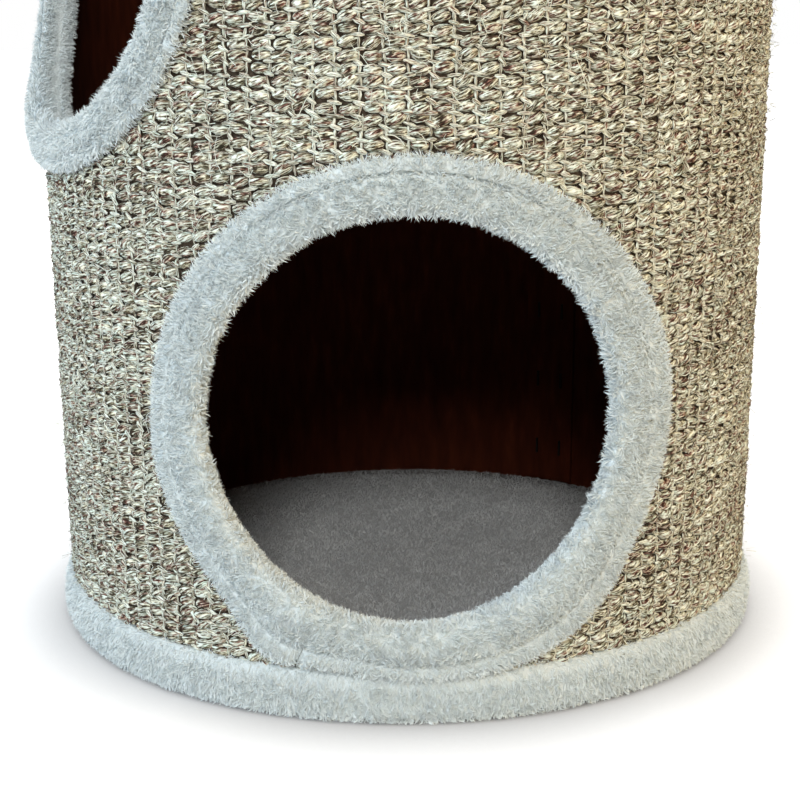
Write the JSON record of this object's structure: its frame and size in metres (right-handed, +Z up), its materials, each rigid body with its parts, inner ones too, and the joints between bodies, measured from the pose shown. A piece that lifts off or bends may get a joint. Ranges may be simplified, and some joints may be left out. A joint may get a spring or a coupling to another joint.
{
  "type": "cat condo",
  "caption": "Upright cat barrel wrapped in woven sisal, with stacked caves behind round plush-trimmed doorways and an open lounge with a loose cushion on top.",
  "frame": {"origin": "middle of the base, on the ground", "axes": "+Z up along the barrel; -Y towards the front, where the lower doorway opens; +X to the right as seen from the front"},
  "size_m": [0.3953, 0.3953, 0.6047],
  "materials": {
    "board": "matte",
    "hardboard": "matte",
    "zinc_steel": "satin",
    "sisal": "matte",
    "plush": "matte",
    "floor_plush": "matte",
    "dust_cloth": "matte",
    "fibre_fill": "matte"
  },
  "bodies": {
    "barrel": {"base_board": "board", "middle_board": "board", "top_board": "board", "barrel_wall": "hardboard", "lower_joint_strip": "hardboard", "upper_joint_strip": "hardboard", "joint_staples": "zinc_steel", "base_screws": "zinc_steel", "middle_screws": "zinc_steel", "top_screws": "zinc_steel", "sisal_wrap": "sisal", "lower_door_trim": "plush", "upper_door_trim": "plush", "base_band": "plush", "rim_band": "plush", "lower_floor_lining": "floor_plush", "middle_floor_lining": "floor_plush", "top_floor_lining": "floor_plush", "lounge_wall_lining": "plush", "dust_cover": "dust_cloth"},
    "cushion": {"cushion_cover": "plush", "cushion_filling": "fibre_fill"}
  },
  "joints": [
    {"name": "cushion_lift", "type": "slide", "parent": "barrel", "child": "cushion", "axis": [0, 0, 1], "range_m": [0, 0.12]}
  ]
}
